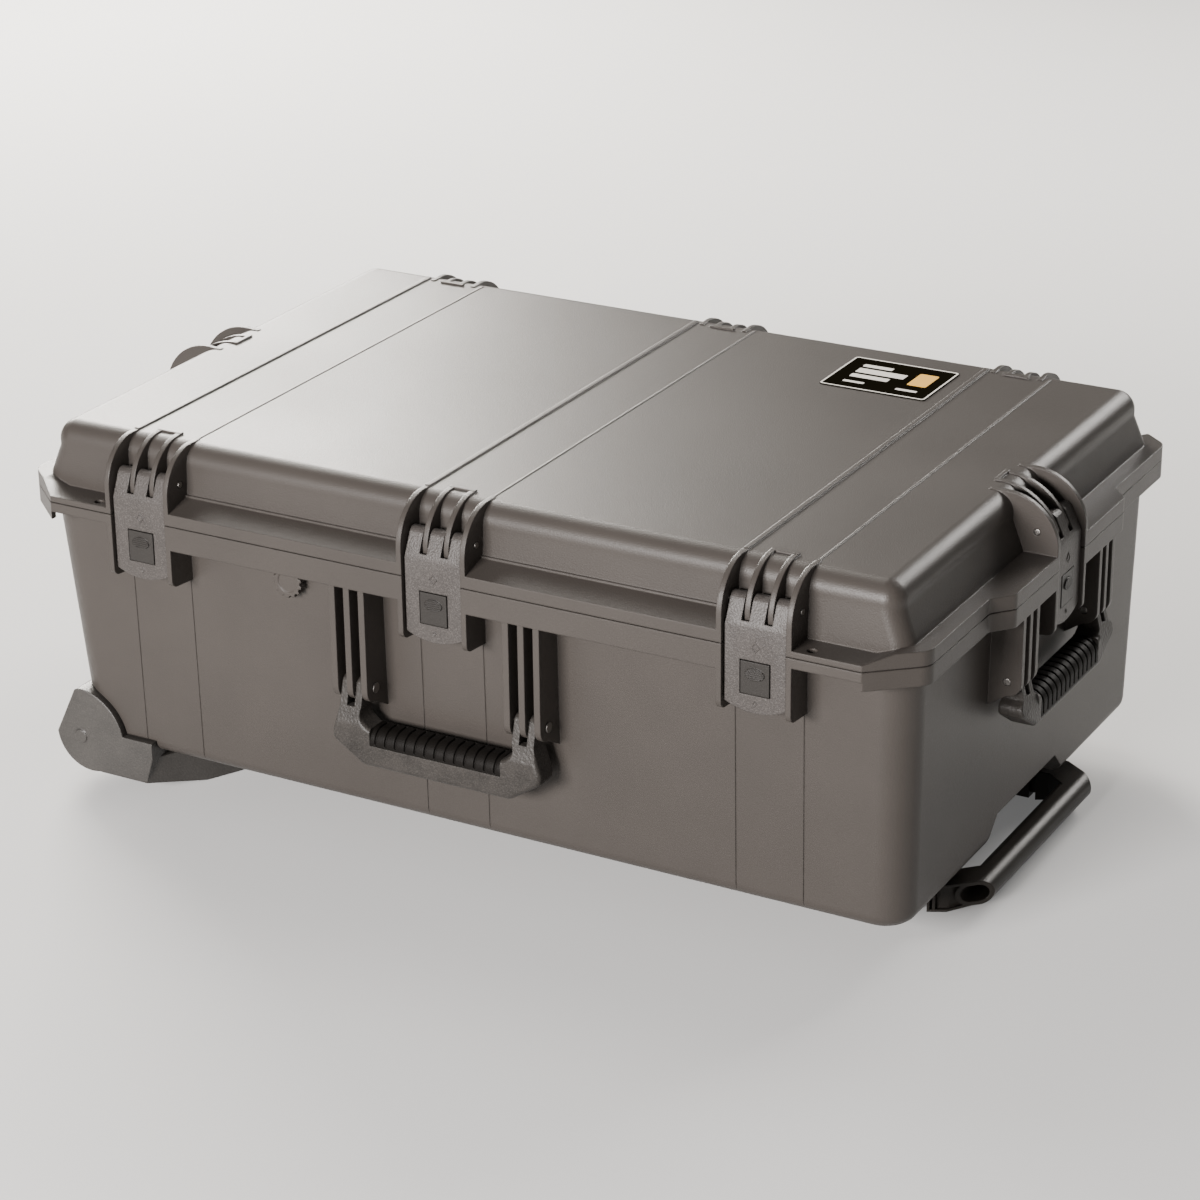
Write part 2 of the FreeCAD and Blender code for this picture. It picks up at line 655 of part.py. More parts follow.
def back_lid_rib(station, u, half, with_eye):
    """Rib over the back edge of the dome; two of the four carry a hinge eye."""
    reach = station.dome_d
    run = 6.0
    eye_d = BACK_FACE_Y - HINGE_Y
    start = eye_d - HINGE_EYE_R + 0.2 if with_eye else BACK_FACE_Y - FLANGE_DEPTH_BACK
    foot = HINGE_Z if with_eye else LIP_TOP - 1.0
    outline = [
        (start, foot), (start, 272.0),
        ("arc", (start + (reach - start) * 0.42, 299.0), (reach + 14.0, LID_TOP_Z + 0.8)),
        (reach + DOME_RADIUS + run, LID_TOP_Z + 0.8),
    ] + dome_inside(station, run)[:3] + [(reach + 2.0, foot)]
    rib = prism_u(outline, u - half, u + half)
    if with_eye:
        rib = rib.fuse(cylinder(HINGE_EYE_R, (u - half, eye_d, HINGE_Z), (u + half, eye_d, HINGE_Z)))
        below = box(u - half - 1, u + half + 1, eye_d + HINGE_EYE_R, reach, 200.0, LID_BOTTOM)
        rib = rib.cut(below)
    return rib


def ledge_slope(side):
    """Sloping top of the lip between the middle latch and an outer one, with a bead at the dome."""
    bead_d = FLANGE_DEPTH_FRONT - DOME_FOOT_Y - LEDGE_BEAD
    crest = LIP_TOP + LEDGE_RISE
    inside_d = bead_d + 2.0 * LEDGE_BEAD
    outline = [(LEDGE_EDGE, LIP_TOP - 1.0), (LEDGE_EDGE, LIP_TOP), (bead_d, crest),
               (bead_d, crest + LEDGE_BEAD), (inside_d, crest + LEDGE_BEAD), (inside_d, LIP_TOP - 1.0)]
    start = RIB_OUTER - 1.0
    ends = sorted((side * start, side * (LATCH_SPACING - start)))
    return FRONT_STATIONS[1].place(prism_u(outline, *ends))


def make_lid():
    dome = rounded_block(DOME_HALF_X, DOME_HALF_Y, DOME_CORNER, LID_BOTTOM, LID_TOP_Z)
    dome = fillet_edges(dome, DOME_RADIUS, at_height(LID_TOP_Z))
    foot = rounded_block(DOME_FOOT_X, DOME_FOOT_Y, DOME_CORNER, LID_BOTTOM, DOME_FOOT_Z)
    flare = Part.makeLoft([
        rounded_wire(-DOME_FOOT_X, DOME_FOOT_X, -DOME_FOOT_Y, DOME_FOOT_Y, DOME_CORNER, DOME_FOOT_Z),
        rounded_wire(-DOME_HALF_X, DOME_HALF_X, -DOME_HALF_Y, DOME_HALF_Y, DOME_CORNER, DOME_SHOULDER_Z),
    ], True, True)
    shelf_x = LATCH_SPACING + RIB_OUTER
    above = across_case([(shelf_x, LIP_TOP), (shelf_x, PARTING_Z + SHELF_HEIGHT),
                         (CHAMFER_FRONT_X, PARTING_Z + SHELF_HEIGHT),
                         (RAMP_END_X, PARTING_Z + END_LIP_HEIGHT),
                         (HALF_X + 5.0, PARTING_Z + END_LIP_HEIGHT)], LIP_TOP + 10.0)
    lip = flange(0.0, LID_BOTTOM, LIP_TOP + 5.0).cut([above] + latch_notches(LID_BOTTOM - 5.0, LIP_TOP + 6.0))
    inner = rounded_block(DOME_HALF_X - LID_WALL, DOME_HALF_Y - LID_WALL, CAVITY_CORNER,
                          LID_BOTTOM - 5.0, LID_TOP_Z - LID_WALL)
    inner = fillet_edges(inner, CAVITY_RADIUS, at_height(LID_TOP_Z - LID_WALL))
    additions = [foot, flare, lip, ledge_slope(-1), ledge_slope(1)]
    for station in LATCH_STATIONS:
        additions.append(station.place(outer_lid_rib(station, -RIB_OUTER, -RIB_INNER)))
        additions.append(station.place(outer_lid_rib(station, RIB_INNER, RIB_OUTER)))
        additions.append(station.place(middle_lid_rib(station, -1)))
        additions.append(station.place(middle_lid_rib(station, 1)))
        additions.append(station.place(hoop_bar(station)))
    for station in BACK_STATIONS:
        lug_u = (LID_LUG[0] + LID_LUG[1]) / 2.0
        lug_half = (LID_LUG[1] - LID_LUG[0]) / 2.0
        for side in (-1, 1):
            additions.append(station.place(back_lid_rib(station, side * lug_u, lug_half, True)))
            additions.append(station.place(back_lid_rib(station, side * BACK_RIB, lug_half, False)))
        additions.append(station.place(hoop_bar(station)))
    rib_line = (RIB_INNER + RIB_OUTER) / 2.0
    line_half_y = DOME_HALF_Y - DOME_RADIUS
    for station in FRONT_STATIONS:
        for side, half, height in ((-1, LID_LINE_HALF, 1.2), (1, LID_LINE_HALF * 0.4, 0.5)):
            x = station.offset + side * rib_line
            additions.append(box(x - half, x + half, -line_half_y, line_half_y,
                                 LID_TOP_Z - 1.0, LID_TOP_Z + height))
    body = dome.fuse(additions)
    holes = [inner, sealing_ring(SEAL_WIDTH, LID_BOTTOM - 1.0, LID_BOTTOM + SEAL_DEPTH)]
    for station in LATCH_STATIONS:
        holes.append(station.place(cylinder(LATCH_PIN_R + SNUG, (-31.0, LATCH_PIN_D, LATCH_PIN_Z),
                                            (31.0, LATCH_PIN_D, LATCH_PIN_Z))))
    for station in BACK_STATIONS:
        eye_d = BACK_FACE_Y - HINGE_Y
        reach = LID_LUG[1] + 1.0
        hole = cylinder(HINGE_PIN_R + RUNNING, (-reach, eye_d, HINGE_Z), (reach, eye_d, HINGE_Z))
        holes.append(station.place(hole))
    for side in (-1, 1):
        holes.append(cylinder(PADLOCK_R, (side * PADLOCK_X, PADLOCK_Y, PARTING_Z),
                              (side * PADLOCK_X, PADLOCK_Y, LIP_TOP + 5.0)))
    return body.cut(holes).removeSplitter()


# ---- latches -------------------------------------------------------------------------
def latch_blank():
    """Latch body before its openings: face plate, sloping neck and knuckle."""
    half = LATCH_HALF
    corner_z = LATCH_BOTTOM_Z + LATCH_SAG
    face_outline = [
        (-half, LATCH_BACK_D, corner_z), (-half, LATCH_BACK_D, CREASE_Z),
        (half, LATCH_BACK_D, CREASE_Z), (half, LATCH_BACK_D, corner_z),
        ("arc", (0.0, LATCH_BACK_D, LATCH_BOTTOM_Z - LATCH_SAG), (-half, LATCH_BACK_D, corner_z)),
    ]
    plate = Part.Face(wire_of(face_outline)).extrude(Vector(0, LATCH_FACE_D - LATCH_BACK_D, 0))
    neck = prism_u([
        (LATCH_FACE_D, CREASE_Z), (LATCH_PIN_D - KNUCKLE_R * 0.93, LATCH_PIN_Z + KNUCKLE_R * 0.37),
        (LATCH_PIN_D, LATCH_PIN_Z), (LATCH_PIN_D + 3.0, LATCH_PIN_Z - KNUCKLE_R * 0.9),
        (LATCH_BACK_D, CREASE_Z - 4.0), (LATCH_FACE_D + 1.0, CREASE_Z - 4.0),
    ], -half, half)
    knuckle = cylinder(KNUCKLE_R, (-half, LATCH_PIN_D, LATCH_PIN_Z), (half, LATCH_PIN_D, LATCH_PIN_Z))
    return fuse([plate, neck, knuckle])


def diamond_mark(z, size):
    """Shallow raised frame moulded into the latch face."""
    outer = [(-size, LATCH_FACE_D, z), (0.0, LATCH_FACE_D, z + size * 1.2),
             (size, LATCH_FACE_D, z), (0.0, LATCH_FACE_D, z - size * 1.2)]
    inner = [(x * 0.7, y, z + (height - z) * 0.7) for x, y, height in outer]
    ring = Part.Face(wire_of(outer)).extrude(Vector(0, -0.4, 0))
    hole = Part.Face(wire_of(inner)).extrude(Vector(0, -0.4, 0))
    return ring.cut(hole)


def make_latch():
    body = latch_blank()
    slots = []
    for side in (-1, 1):
        centre = side * MID_RIB
        slots.append(cylinder(SLOT_CLEAR_R, (centre - SLOT_HALF, LATCH_PIN_D, LATCH_PIN_Z),
                              (centre + SLOT_HALF, LATCH_PIN_D, LATCH_PIN_Z)))
    bore = cylinder(LATCH_PIN_R + RUNNING, (-LATCH_HALF - 1.0, LATCH_PIN_D, LATCH_PIN_Z),
                    (LATCH_HALF + 1.0, LATCH_PIN_D, LATCH_PIN_Z))
    window_half = BUTTON_HALF + BUTTON_GAP
    window = box(-window_half, window_half, 0.0, LATCH_BACK_D,
                 BUTTON_Z[0] - BUTTON_GAP, BUTTON_Z[1] + BUTTON_GAP)
    pocket_half = BUTTON_HALF + BUTTON_RIM + 0.6
    pocket = box(-pocket_half, pocket_half, LATCH_FACE_D + 3.5, LATCH_BACK_D + 1.0,
                 BUTTON_Z[0] - BUTTON_RIM - 1.2, BUTTON_Z[1] + BUTTON_RIM + 1.2)
    body = body.cut(slots + [bore, window, pocket])
    teeth = [box(side * TOOTH_U - TOOTH_HALF, side * TOOTH_U + TOOTH_HALF, LATCH_BACK_D, LATCH_BACK_D + 2.5,
                 KEEPER_Z - 6.5, KEEPER_Z - 1.0) for side in (-1, 1)]
    marks = [diamond_mark(UPPER_MARK_Z, 3.6), diamond_mark(LOWER_MARK_Z, 1.8)]
    return fuse([body] + teeth + marks)


def make_button():
    z0, z1 = BUTTON_Z
    cap = box(-BUTTON_HALF, BUTTON_HALF, LATCH_FACE_D - 0.4, LATCH_FACE_D + 5.0, z0, z1)
    rim_half = BUTTON_HALF + BUTTON_RIM
    rim = box(-rim_half, rim_half, LATCH_FACE_D + 3.9, LATCH_FACE_D + 5.4, z0 - BUTTON_RIM, z1 + BUTTON_RIM)
    centre_z = z0 + (z1 - z0) * 0.64
    ellipse = Part.Ellipse(Vector(0, LATCH_FACE_D, centre_z), 7.6, 4.6)
    ellipse.Axis = Vector(0, 1, 0)
    thumb_wire = Part.Wire([ellipse.toShape()])
    thumb = Part.Face(thumb_wire).extrude(Vector(0, -1.5, 0))
    grooves = []
    for step in (-2, -1, 0, 1, 2):
        z = centre_z + step * THUMB_GROOVE_PITCH
        grooves.append(box(-9.0, 9.0, LATCH_FACE_D - 1.6, LATCH_FACE_D - 1.0, z - 0.3, z + 0.3))
    return fuse([cap, rim, thumb.cut(grooves)])


def make_latch_spring():
    """Flat spring across the back of the button pocket."""
    return box(-4.0, 4.0, LATCH_BACK_D, LATCH_BACK_D + SPRING_STRIP,
               BUTTON_Z[0] - 6.0, BUTTON_Z[1] + 6.0)


# ---- carry handles -------------------------------------------------------------------
def handle_outline(pivot_z, drop, bar, outer):
    """Front view of a handle: outer contour, or the hand opening."""
    bottom = pivot_z - drop
    top = pivot_z - 4.0
    if outer:
        right = [(84.0, top, 0.0), (84.5, pivot_z - 15.0, 3.0), (90.7, bottom + 24.5, 6.0),
                 (90.7, bottom + 17.6, 5.0), (64.0, bottom, 12.0)]
    else:
        right = [(66.5, top + 10.0, 0.0), (66.5, bottom + bar + drop * 0.11, 6.0), (59.0, bottom + bar, 5.0)]
    return right + [(-u, z, radius) for u, z, radius in reversed(right)]


def plate_d(corners, d0, d1):
    """Plate with a rounded (u, z, radius) outline between two depths."""
    plate = Part.Face(rounded_corners(corners, 0.0)).extrude(Vector(0, 0, d0 - d1))
    plate.rotate(Vector(0, 0, 0), Vector(1, 0, 0), 90.0)
    plate.translate(Vector(0, d0, 0))
    return plate


def grip_section(crown, low, inset, half):
    """Soft grip over the upper part of the bar, its outside taken in by an inset."""
    face = HANDLE_FACE_D + inset
    height = crown - inset
    radius = GRIP_ROUND - inset
    lean = radius * (1.0 - math.sqrt(0.5))
    back = HANDLE_BACK_D - inset
    outline = [
        (face, low), (face, height - radius), ("arc", (face + lean, height - lean), (face + radius, height)),
        (back - GRIP_BACK_BEVEL, height), (back, height - GRIP_BACK_BEVEL), (back, low),
    ]
    return prism_u(outline, -half, half)


def grip_core(low, top):
    """Rail of the frame that the grip is moulded round."""
    return box(-GRIP_HALF - 2.0, GRIP_HALF + 2.0, HANDLE_FACE_D + 7.0, HANDLE_BACK_D - 4.0,
               low - 1.0, top - 5.0)


def make_handle(pivot_z, drop, bar, cover):
    outer = plate_d(handle_outline(pivot_z, drop, bar, True), HANDLE_FACE_D, HANDLE_BACK_D)
    opening = plate_d(handle_outline(pivot_z, drop, bar, False), HANDLE_FACE_D - 5.0, HANDLE_BACK_D + 5.0)
    frame = outer.cut(opening)
    for depth, radius in ((HANDLE_FACE_D, HANDLE_EDGE_R), (HANDLE_BACK_D, HANDLE_EDGE_R * 0.6)):
        frame = fillet_edges(frame, radius, at_depth(depth))
    web_top = pivot_z - PIVOT_D - 0.6
    frame = frame.cut(box(-100.0, 100.0, -20.0, 40.0, web_top - 2.0, pivot_z + 20.0))
    rib_gap = BRACKET_RIB_HALF + 0.7
    for side in (-1, 1):
        centre = side * BRACKET_SPACING
        frame = frame.cut(box(centre - rib_gap, centre + rib_gap, PIVOT_D - 4.0, HANDLE_BACK_D + 5.0,
                              web_top - 7.0, pivot_z + 20.0))
    tines = []
    for side in (-1, 1):
        for lean in (-1, 1):
            u0 = side * BRACKET_SPACING + lean * TINE[0]
            u1 = side * BRACKET_SPACING + lean * TINE[1]
            low_u, high_u = min(u0, u1), max(u0, u1)
            eye = cylinder(PIVOT_EYE_R, (low_u, PIVOT_D, pivot_z), (high_u, PIVOT_D, pivot_z))
            blade = prism_u([
                (HANDLE_FACE_D, web_top - 3.0), (HANDLE_FACE_D, web_top + 1.5),
                (PIVOT_D - PIVOT_EYE_R * 0.85, pivot_z + PIVOT_EYE_R * 0.53),
                (PIVOT_D + PIVOT_EYE_R, pivot_z), (PIVOT_D + PIVOT_EYE_R - 1.5, web_top - 3.0),
            ], low_u, high_u)
            tines.append(eye.fuse(blade))
    frame = frame.fuse(tines)
    top = pivot_z - drop + bar
    low = top - cover
    seat = box(-GRIP_HALF, GRIP_HALF, HANDLE_FACE_D - 5.0, HANDLE_BACK_D + 5.0, low, top + 5.0)
    frame = frame.cut(seat).fuse(grip_core(low, top))
    slope = [
        (HANDLE_FACE_D - 5.0, pivot_z - FORK_SLOPE), (HANDLE_FACE_D, pivot_z - FORK_SLOPE),
        (PIVOT_D - PIVOT_EYE_R * 0.85, pivot_z + PIVOT_EYE_R * 0.53), (HANDLE_FACE_D - 5.0, pivot_z + 20.0),
    ]
    for side in (-1, 1):
        centre = side * BRACKET_SPACING
        frame = frame.cut(prism_u(slope, *sorted((side * (GRIP_HALF + 5.0), side * 100.0))))
        frame = frame.cut(cylinder(PIVOT_R + RUNNING, (centre - 15.0, PIVOT_D, pivot_z),
                                   (centre + 15.0, PIVOT_D, pivot_z)))
    return frame.removeSplitter()


def make_grip(pivot_z, drop, bar, cover):
    top = pivot_z - drop + bar
    low = top - cover
    crown = top + 0.6
    grip = grip_section(crown, low, 0.0, GRIP_HALF).cut(grip_core(low, top))
    pitch = 2.0 * (GRIP_HALF - 5.0) / GRIP_GROOVES
    outside = box(-GRIP_GROOVE_HALF, GRIP_GROOVE_HALF, HANDLE_FACE_D - 2.0, HANDLE_BACK_D - GRIP_BACK_BEVEL,
                  low + 1.5, crown + 2.0)
    outside = outside.cut(grip_section(crown, low, GRIP_GROOVE_DEPTH, GRIP_HALF))
    cuts = []
    for index in range(GRIP_GROOVES + 1):
        groove = outside.copy()
        groove.translate(Vector(-GRIP_HALF + 5.0 + index * pitch, 0, 0))
        cuts.append(groove)
    return grip.cut(cuts).removeSplitter()


def make_handle_pins(pivot_z):
    """Two headed pins, one for each bracket."""
    reach = BRACKET_PITCH + BRACKET_RIB_HALF
    pins = []
    for side in (-1, 1):
        centre = side * BRACKET_SPACING
        shaft = cylinder(PIVOT_R, (centre - reach, PIVOT_D, pivot_z),
                         (centre + reach + 0.2, PIVOT_D, pivot_z))
        head = cylinder(PIVOT_R + 1.2, (centre + reach + 0.1, PIVOT_D, pivot_z),
                        (centre + reach + 1.3, PIVOT_D, pivot_z))
        pins.append(fuse([shaft, head]))
    return pins


# ---- pins of the latches and the back hinge ------------------------------------------
def make_latch_pins():
    pins = []
    for station in LATCH_STATIONS:
        shaft = cylinder(LATCH_PIN_R, (-RIB_OUTER, LATCH_PIN_D, LATCH_PIN_Z),
                         (RIB_OUTER + 0.8, LATCH_PIN_D, LATCH_PIN_Z))
        pins.append(station.place(shaft))
    return pins


def make_hinge_pins():
    eye_d = BACK_FACE_Y - HINGE_Y
    reach = BASE_LUG[1] + 0.8
    pin = cylinder(HINGE_PIN_R, (-reach, eye_d, HINGE_Z), (reach, eye_d, HINGE_Z))
    return [station.place(pin) for station in BACK_STATIONS]


# ---- pressure valve ------------------------------------------------------------------
def make_valve():
    wall_y = -(FLANGE_DEPTH_FRONT - FRONT_STATIONS[0].wall_d(VALVE_Z))
    outside = wall_y - 0.6

    def disc(radius, y0, y1):
        return cylinder(radius, (VALVE_X, y0, VALVE_Z), (VALVE_X, y1, VALVE_Z))

    rim = disc(VALVE_CAP_R - 1.5, outside - 2.0, outside)
    stem = disc(VALVE_STEM_R, outside - 1.0, wall_y + WALL + 7.0)
    bore = disc(VALVE_STEM_R - 2.5, outside - 3.0, wall_y + WALL + 5.5)
    vents = []
    for angle in range(0, 360, 60):
        x = VALVE_X + 3.0 * math.cos(math.radians(angle))
        z = VALVE_Z + 3.0 * math.sin(math.radians(angle))
        vents.append(cylinder(0.8, (x, outside, z), (x, wall_y + WALL + 8.0, z)))
    body = fuse([rim, stem]).cut([bore] + vents)
    seal = disc(VALVE_STEM_R + 2.5, outside, wall_y - 0.25)
    seal = seal.cut(disc(VALVE_STEM_R + 0.1, outside - 1.0, wall_y + 1.0))
    membrane = disc(VALVE_STEM_R - 2.6, outside - 1.5, outside - 0.5)
    nut = disc(VALVE_STEM_R + 4.0, wall_y + WALL + 0.6, wall_y + WALL + 5.0)
    nut = nut.cut(disc(VALVE_STEM_R + 0.05, wall_y + WALL, wall_y + WALL + 6.0))
    cap = disc(VALVE_CAP_R, outside - 8.5, outside - 2.1)
    notches = []
    teeth = 14
    for index in range(teeth):
        angle = 2.0 * math.pi * index / teeth
        x = VALVE_X + VALVE_CAP_R * math.cos(angle)
        z = VALVE_Z + VALVE_CAP_R * math.sin(angle)
        notches.append(cylinder(1.7, (x, outside - 9.0, z), (x, outside - 2.0, z)))
    cap = cap.cut(notches + [disc(VALVE_CAP_R - 4.5, outside - 9.0, outside - 7.9)])
    return {"valve_body": body, "valve_seal": seal, "valve_membrane": membrane,
            "valve_nut": nut, "valve_cap": cap}


# ---- wheels --------------------------------------------------------------------------
def make_housing():
    """Front wheel housing: outer cheek, wheel slot, and the skid it rests on."""
    k = ARCH_R * math.sqrt(0.5)
    rise = math.sqrt(ARCH_R ** 2 - (HOUSING_TOP_Z - AXLE_Z) ** 2)
    c = CHEEK_R * math.sqrt(0.5)
    outline = [
        (AXLE_X - CHEEK_R, AXLE_Z), (AXLE_X - 4.0, AXLE_Z + ARCH_R - 2.0), (AXLE_X, AXLE_Z + ARCH_R),
        ("arc", (AXLE_X + k, AXLE_Z + k), (AXLE_X + rise, HOUSING_TOP_Z)),
        (HOUSING_TAIL_X, HOUSING_TOP_Z), (HOUSING_TAIL_X, 34.0), (HOUSING_TAIL_X - 7.0, CHEEK_BOTTOM_Z),
        (AXLE_X + 16.0, CHEEK_BOTTOM_Z),
        ("arc", (AXLE_X - c * 0.9, AXLE_Z - c * 1.15), (AXLE_X - CHEEK_R, AXLE_Z)),
    ]
    block = prism_y(outline, HOUSING_Y[0], HOUSING_Y[1])
    skid_corners = [
        (AXLE_X + 18.0, HOUSING_Y[0], 0.0), (SKID_X[0], HOUSING_Y[0], 0.0),
        (SKID_X[1], HOUSING_Y[1] - 8.0, 0.0),
        (SKID_X[1], HOUSING_Y[1], 0.0), (AXLE_X + 18.0, HOUSING_Y[1], 0.0),
    ]
    skid = Part.Face(rounded_corners(skid_corners, 0.0)).extrude(Vector(0, 0, SKID_TOP_Z))
    slope = prism_u([(HOUSING_Y[0] - 1.0, -1.0), (HOUSING_Y[0] - 1.0, CHEEK_BOTTOM_Z),
                     (HOUSING_Y[0], CHEEK_BOTTOM_Z), (SKID_Y, 0.0), (SKID_Y, -1.0)], AXLE_X, SKID_X[1] + 1.0)
    lead = prism_y([(AXLE_X, -1.0), (AXLE_X + 31.0, -1.0), (AXLE_X + 17.0, CHEEK_BOTTOM_Z),
                    (AXLE_X, CHEEK_BOTTOM_Z)], HOUSING_Y[0] - 1.0, HOUSING_Y[1] + 1.0)
    slot = cylinder(TYRE_R + 2.5, (AXLE_X, WHEEL_Y[0] - 2.0, AXLE_Z), (AXLE_X, WHEEL_Y[1] + 2.0, AXLE_Z))
    mouth = box(AXLE_X - 40.0, AXLE_X, WHEEL_Y[0] - 2.0, WHEEL_Y[1] + 2.0, 0.0, AXLE_Z + TYRE_R + 2.5)
    under = box(AXLE_X - 1.0, AXLE_X + TYRE_R + 2.5, WHEEL_Y[0] - 2.0, WHEEL_Y[1] + 2.0, 0.0, AXLE_Z)
    bore = cylinder(AXLE_R + SNUG, (AXLE_X, HOUSING_Y[0] + 2.0, AXLE_Z), (AXLE_X, -172.0, AXLE_Z))
    boss = cylinder(5.8, (AXLE_X, HOUSING_Y[0] - 1.2, AXLE_Z), (AXLE_X, HOUSING_Y[0] + 1.0, AXLE_Z))
    body = block.fuse([skid.cut([slope, lead]), boss])
    return body.cut([slot, mouth, under, bore]).removeSplitter()


def make_wheel():
    """Hub, tyre, bearings and axle of the front wheel."""
    y0, y1 = WHEEL_Y

    def disc(radius, start, end):
        return cylinder(radius, (AXLE_X, start, AXLE_Z), (AXLE_X, end, AXLE_Z))

    tyre = disc(TYRE_R, y0, y1).cut(disc(TYRE_IN_R, y0 - 1.0, y1 + 1.0))
    tyre = fillet_edges(tyre, 4.0, lambda edge: len(edge.Vertexes) == 1
                        and edge.BoundBox.XLength > TYRE_R * 1.9)
    hub = disc(HUB_R, y0 + 1.0, y1 - 1.0)
    recess = [disc(15.5, y0 - 1.0, y0 + 4.0).cut(disc(11.0, y0 - 1.0, y0 + 4.0)),
              disc(15.5, y1 - 4.0, y1 + 1.0).cut(disc(11.0, y1 - 4.0, y1 + 1.0))]
    seats = [disc(8.02, y0 - 1.0, y0 + 6.0), disc(8.02, y1 - 6.0, y1 + 1.0), disc(AXLE_R + 1.0, y0, y1)]
    hub = hub.cut(recess + seats)
    bearings = []
    for start in (y0 + 1.0, y1 - 6.0):
        bearings.append(disc(8.0, start, start + 5.0).cut(disc(AXLE_R + RUNNING, start - 1.0, start + 6.0)))
    axle = disc(AXLE_R, HOUSING_Y[0] + 2.2, -172.2)
    return {"tyre": tyre, "hub": hub, "bearings": bearings, "axle": axle}


# ---- pull handle ---------------------------------------------------------------------
def grip_point(along, up):
    """Point of the grip's tilted section: along points outwards, up away from the ground."""
    angle = math.radians(GRIP_TILT)
    return (GRIP_CENTRE[0] + along * math.cos(angle) - up * math.sin(angle),
            GRIP_CENTRE[1] + along * math.sin(angle) + up * math.cos(angle))


def grip_oval(radius, y0, y1):
    """Bar with the flattened round section of the grip."""
    half = GRIP_BAR_HALF
    return prism_y([
        grip_point(-half, -radius), grip_point(half, -radius),
        ("arc", grip_point(half + radius, 0.0), grip_point(half, radius)),
        grip_point(-half, radius),
        ("arc", grip_point(-half - radius, 0.0), grip_point(-half, -radius)),
    ], y0, y1)


def grip_web(shrink, y0, y1):
    """End web: the bar's section carried back to a square root under the case."""
    root = GRIP_ROOT_X + shrink
    thick = GRIP_BAR_R - shrink
    top = grip_point(-GRIP_BAR_HALF, thick)
    slope = math.tan(math.radians(GRIP_TILT))
    return prism_y([(root, GRIP_ROOT_Z + shrink), grip_point(-GRIP_BAR_HALF, -thick),
                    grip_point(GRIP_BAR_HALF, -thick), grip_point(GRIP_BAR_HALF, thick), top,
                    (root, top[1] - (top[0] - root) * slope)], y0, y1)


def plan_block(corners):
    """Upright block over an (x, y) outline."""
    outline = [(x, y, -5.0) for x, y in corners]
    return Part.Face(wire_of(outline)).extrude(Vector(0, 0, 60.0))


def outer_edge(x):
    """Half width of the grip where its splayed end crosses x."""
    return GRIP_KNEE_OUT[1] - (x - GRIP_KNEE_OUT[0]) * GRIP_SPLAY


def make_pull_grip():
    front = GRIP_CENTRE[0] + GRIP_BAR_R + GRIP_BAR_HALF + 1.0
    middle = GRIP_CENTRE[0]
    back = GRIP_ROOT_X - 1.0
    reach = GRIP_KNEE_OUT[1] + 5.0
    knee_x, knee_y = GRIP_KNEE_OUT
    body = grip_oval(GRIP_BAR_R, -reach, reach).common(plan_block([
        (knee_x - 20.0, -outer_edge(knee_x - 20.0)), (front, -outer_edge(front)),
        (front, outer_edge(front)), (knee_x - 20.0, outer_edge(knee_x - 20.0))]))
    pockets = []
    for side in (-1, 1):
        leg = plan_block([(x, side * y) for x, y in (
            (middle, GRIP_WEB_Y), GRIP_KNEE_IN, (back, GRIP_KNEE_IN[1]), (back, knee_y), GRIP_KNEE_OUT,
            (middle, outer_edge(middle)))])
        body = body.fuse(grip_web(0.0, *sorted((side * (GRIP_WEB_Y - 1.0), side * reach))).common(leg))
        pockets.append(grip_oval(GRIP_HOLLOW_R, *sorted((side * GRIP_WEB_Y, side * reach))))
        y0, y1 = sorted((side * (ARM_Y - ARM_HALF_Y - 0.1), side * (ARM_Y + ARM_HALF_Y + 0.1)))
        pockets.append(box(back, ARM_SOCKET_X, y0, y1, ARM_Z[0] - 0.1, ARM_Z[1] + 0.1))
        span = sorted((side * (outer_edge(front) - GRIP_CELL_DEPTH), side * reach))
        rim = plan_block([(x, side * y) for x, y in (
            (middle, outer_edge(middle) - GRIP_CELL_DEPTH), (knee_x, knee_y - GRIP_CELL_DEPTH),
            (back, knee_y - GRIP_CELL_DEPTH), (back, reach), (middle, reach))])
        cell = grip_web(2.2, *span).cut([
            grip_oval(GRIP_BAR_R, *span),
            box(GRIP_ROOT_X + 4.5, GRIP_ROOT_X + 6.7, *span, -1.0, 2.0 * GRIP_BAR_R + 20.0)])
        pockets.append(cell.common(rim))
    return body.cut(pockets).removeSplitter()


def make_arm(side):
    y0, y1 = sorted((side * (ARM_Y - ARM_HALF_Y), side * (ARM_Y + ARM_HALF_Y)))
    tube = box(ARM_START_X, ARM_SOCKET_X - 0.2, y0, y1, ARM_Z[0], ARM_Z[1])
    core = box(ARM_START_X - 1.0, ARM_SOCKET_X, y0 + ARM_WALL, y1 - ARM_WALL,
               ARM_Z[0] + ARM_WALL, ARM_Z[1] - ARM_WALL)
    return tube.cut(core)


def make_arm_plug(side):
    y0, y1 = sorted((side * (ARM_Y - ARM_HALF_Y), side * (ARM_Y + ARM_HALF_Y)))
    cap = box(ARM_START_X - 3.0, ARM_START_X, y0, y1, ARM_Z[0], ARM_Z[1])
    stem = box(ARM_START_X, ARM_START_X + 14.0, y0 + ARM_WALL + 0.1, y1 - ARM_WALL - 0.1,
               ARM_Z[0] + ARM_WALL + 0.1, ARM_Z[1] - ARM_WALL - 0.1)
    return fuse([cap, stem])


